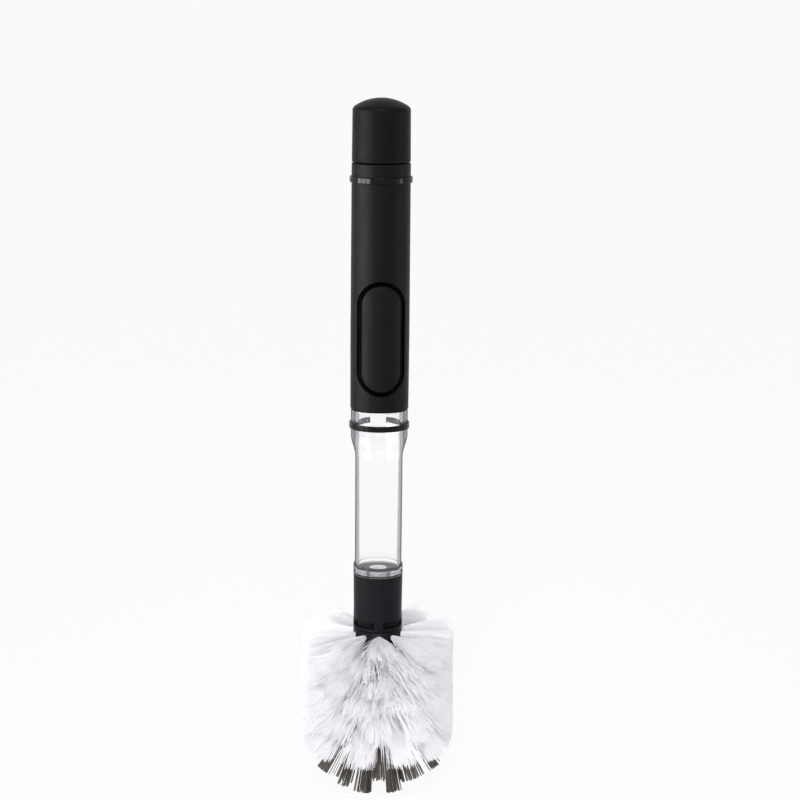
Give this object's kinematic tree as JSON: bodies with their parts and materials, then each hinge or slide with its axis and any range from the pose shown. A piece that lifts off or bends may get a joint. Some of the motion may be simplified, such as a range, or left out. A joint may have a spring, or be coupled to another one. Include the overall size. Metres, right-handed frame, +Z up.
{
  "type": "soap-dispensing bottle brush",
  "caption": "Upright bottle brush with a flared tufted bristle head, clear soap reservoir, soft black handle with a press button, and a screw-off filler cap",
  "frame": {"origin": "on the brush's axis, in the plane of the lowest bristle tips", "axes": "+Z up along the brush's axis to the cap, -Y towards the button, X across"},
  "size_m": [0.0761, 0.0762, 0.3435],
  "materials": {
    "soft_black": "matte soft-touch",
    "hard_black": "satin",
    "clear_plastic": "clear, polished",
    "band_black": "glossy",
    "seal_rubber": "matte",
    "white_silicone": "satin",
    "white_nylon": "satin strands",
    "grey_nylon": "satin strands"
  },
  "bodies": {
    "handle": {"handle_grip": "soft_black", "handle_liner": "hard_black", "joint_seal": "seal_rubber", "button_diaphragm": "seal_rubber", "diaphragm_frame": "hard_black", "reservoir": "clear_plastic", "upper_band": "band_black", "lower_band": "band_black", "slit_valve": "white_silicone", "valve_seat": "hard_black", "collar": "hard_black", "collar_seal": "seal_rubber", "head_stem": "hard_black", "bristles_upper": "white_nylon", "bristles_middle": "white_nylon", "bristles_lower": "white_nylon", "bristles_tip": "grey_nylon"},
    "gasket": {"cap_gasket": "white_silicone"},
    "cap": {"cap_shell": "soft_black", "cap_liner": "hard_black"},
    "button": {"button_pad": "soft_black"}
  },
  "joints": [
    {"name": "cap_lift", "type": "slide", "parent": "handle", "child": "gasket", "axis": [0, 0, 1], "range_m": [0, 0.009]},
    {"name": "cap_twist", "type": "hinge", "parent": "gasket", "child": "cap", "pos_m": [0, 0, 0.3131], "axis": [0, 0, 1], "range_deg": [0, 541]},
    {"name": "button_press", "type": "slide", "parent": "handle", "child": "button", "axis": [0, 1, 0], "range_m": [0, 0.0025], "stiffness_N_per_m": 1200, "deforming": ["button_diaphragm"]}
  ],
  "couplings": [
    {"joint": "cap_twist", "follows": "cap_lift", "rad_per_m": 1047.2}
  ]
}
